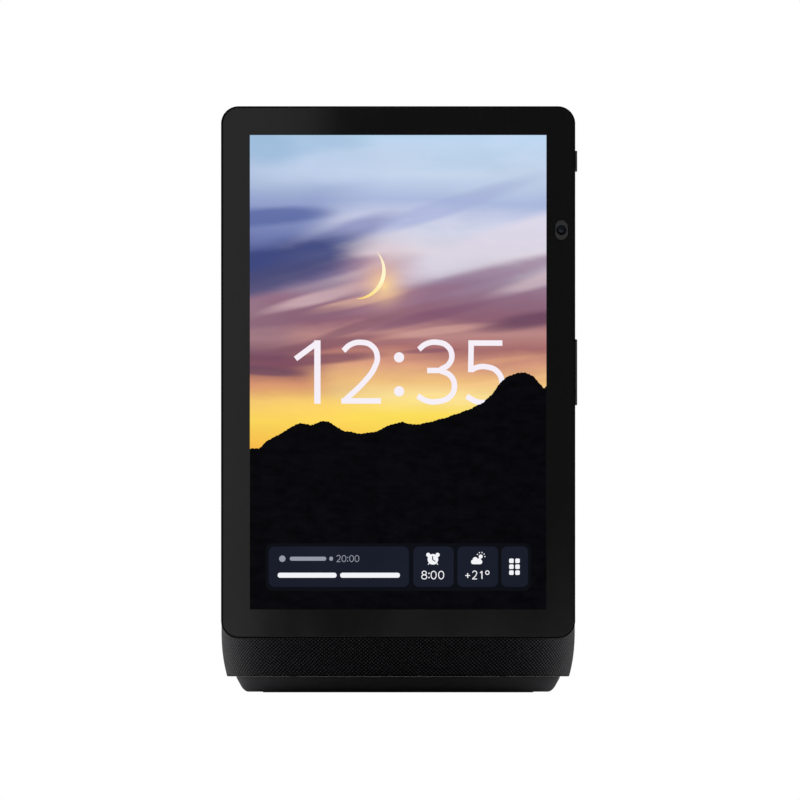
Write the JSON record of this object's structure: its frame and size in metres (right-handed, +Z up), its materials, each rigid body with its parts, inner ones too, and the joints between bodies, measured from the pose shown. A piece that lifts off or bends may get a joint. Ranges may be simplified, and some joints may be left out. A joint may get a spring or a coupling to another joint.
{
  "type": "smart display",
  "caption": "Portrait touch-screen smart display on a tilting, turning hub in front of a fabric-covered speaker body, with side keys and a camera shutter.",
  "frame": {"origin": "middle of the rubber foot's underside, on the table", "axes": "+Z up; the screen faces -Y; +X is to the right of someone facing the screen"},
  "size_m": [0.1629, 0.136, 0.2681],
  "materials": {
    "black_glass": "gloss",
    "screen_panel": "satin",
    "white_plastic": "matte",
    "black_plastic": "satin",
    "key_plastic": "satin",
    "trim_plastic": "satin",
    "lens_glass": "gloss",
    "speaker_fabric": "woven",
    "foot_rubber": "matte",
    "cabinet_plastic": "matte",
    "steel": "satin",
    "aluminium": "satin",
    "painted_metal": "satin",
    "circuit_board": "satin",
    "chip_plastic": "satin",
    "cone_paper": "matte",
    "surround_rubber": "satin",
    "magnet_ferrite": "matte",
    "cable_sheath": "satin",
    "washer_plastic": "satin"
  },
  "bodies": {
    "base": {"foot": "black_plastic", "foot_pad": "foot_rubber", "ballast_plate": "steel", "cabinet_floor": "cabinet_plastic", "left_foot_screw": "steel", "right_foot_screw": "steel", "cabinet": "cabinet_plastic", "fabric_cover": "speaker_fabric", "top_cap": "black_plastic", "neck": "painted_metal", "neck_screw_1": "steel", "neck_screw_2": "steel", "neck_screw_3": "steel", "neck_screw_4": "steel", "tilt_pin": "steel", "left_tilt_washer": "washer_plastic", "right_tilt_washer": "washer_plastic", "neck_cable": "cable_sheath", "amplifier_board": "circuit_board", "amplifier_heat_sink": "aluminium", "jack_bezel": "black_plastic", "power_jack": "steel", "woofer_basket": "magnet_ferrite", "woofer_surround": "surround_rubber", "left_basket": "magnet_ferrite", "left_surround": "surround_rubber", "right_basket": "magnet_ferrite", "right_surround": "surround_rubber", "radiator_surround": "surround_rubber", "left_tweeter": "magnet_ferrite", "right_tweeter": "magnet_ferrite"},
    "tilt_hub": {"swivel_hub": "painted_metal", "retaining_ring": "steel", "front_swivel_washer": "washer_plastic", "rear_swivel_washer": "washer_plastic", "hub_cable": "cable_sheath"},
    "display": {"cover_glass": "black_glass", "lcd_panel": "screen_panel", "backlight_unit": "white_plastic", "head_frame": "black_plastic", "head_rear_cover": "black_plastic", "camera_trim": "trim_plastic", "camera_module": "chip_plastic", "camera_lens": "lens_glass", "side_key_board": "circuit_board", "mid_plate": "aluminium", "main_board": "circuit_board", "microphone_board": "circuit_board", "processor_shield": "steel", "heat_spreader": "aluminium", "panel_ribbon": "cable_sheath", "head_cable": "cable_sheath", "swivel_plate": "steel"},
    "shutter": {"shutter_slider": "trim_plastic"},
    "mute_key": {"mute_button": "key_plastic"},
    "volume_key": {"volume_rocker": "key_plastic"},
    "woofer_diaphragm": {"woofer_cone": "cone_paper"},
    "radiator_diaphragm": {"radiator_cone": "cone_paper"},
    "left_diaphragm": {"left_cone": "cone_paper"},
    "right_diaphragm": {"right_cone": "cone_paper"}
  },
  "joints": [
    {"name": "tilt", "type": "hinge", "parent": "base", "child": "tilt_hub", "pos_m": [0, -0.033, 0.14638], "axis": [-1, 0, 0], "range_deg": [0, 20]},
    {"name": "swivel", "type": "hinge", "parent": "tilt_hub", "child": "display", "pos_m": [0, -0.062, 0.14638], "axis": [0, -1, 0], "range_deg": [0, 90]},
    {"name": "mute_press", "type": "slide", "parent": "display", "child": "mute_key", "axis": [-1, 0, 0], "range_m": [0, 0.0006], "stiffness_N_per_m": 1500},
    {"name": "volume_rock", "type": "hinge", "parent": "display", "child": "volume_key", "pos_m": [0.0745, -0.0747, 0.14638], "axis": [0, 1, 0], "range_deg": [-2, 2], "stiffness_Nm_per_rad": 0.5},
    {"name": "shutter_slide", "type": "slide", "parent": "display", "child": "shutter", "axis": [0, 0, -1], "range_m": [0, 0.007]},
    {"name": "woofer_travel", "type": "slide", "parent": "base", "child": "woofer_diaphragm", "axis": [0, 1, 0], "range_m": [-0.0025, 0.0025], "stiffness_N_per_m": 1000},
    {"name": "radiator_travel", "type": "slide", "parent": "base", "child": "radiator_diaphragm", "axis": [0, -1, 0], "range_m": [-0.003, 0.003], "stiffness_N_per_m": 1000},
    {"name": "left_travel", "type": "slide", "parent": "base", "child": "left_diaphragm", "axis": [-1, 0, 0], "range_m": [-0.001, 0.001], "stiffness_N_per_m": 2000},
    {"name": "right_travel", "type": "slide", "parent": "base", "child": "right_diaphragm", "axis": [1, 0, 0], "range_m": [-0.001, 0.001], "stiffness_N_per_m": 2000}
  ]
}
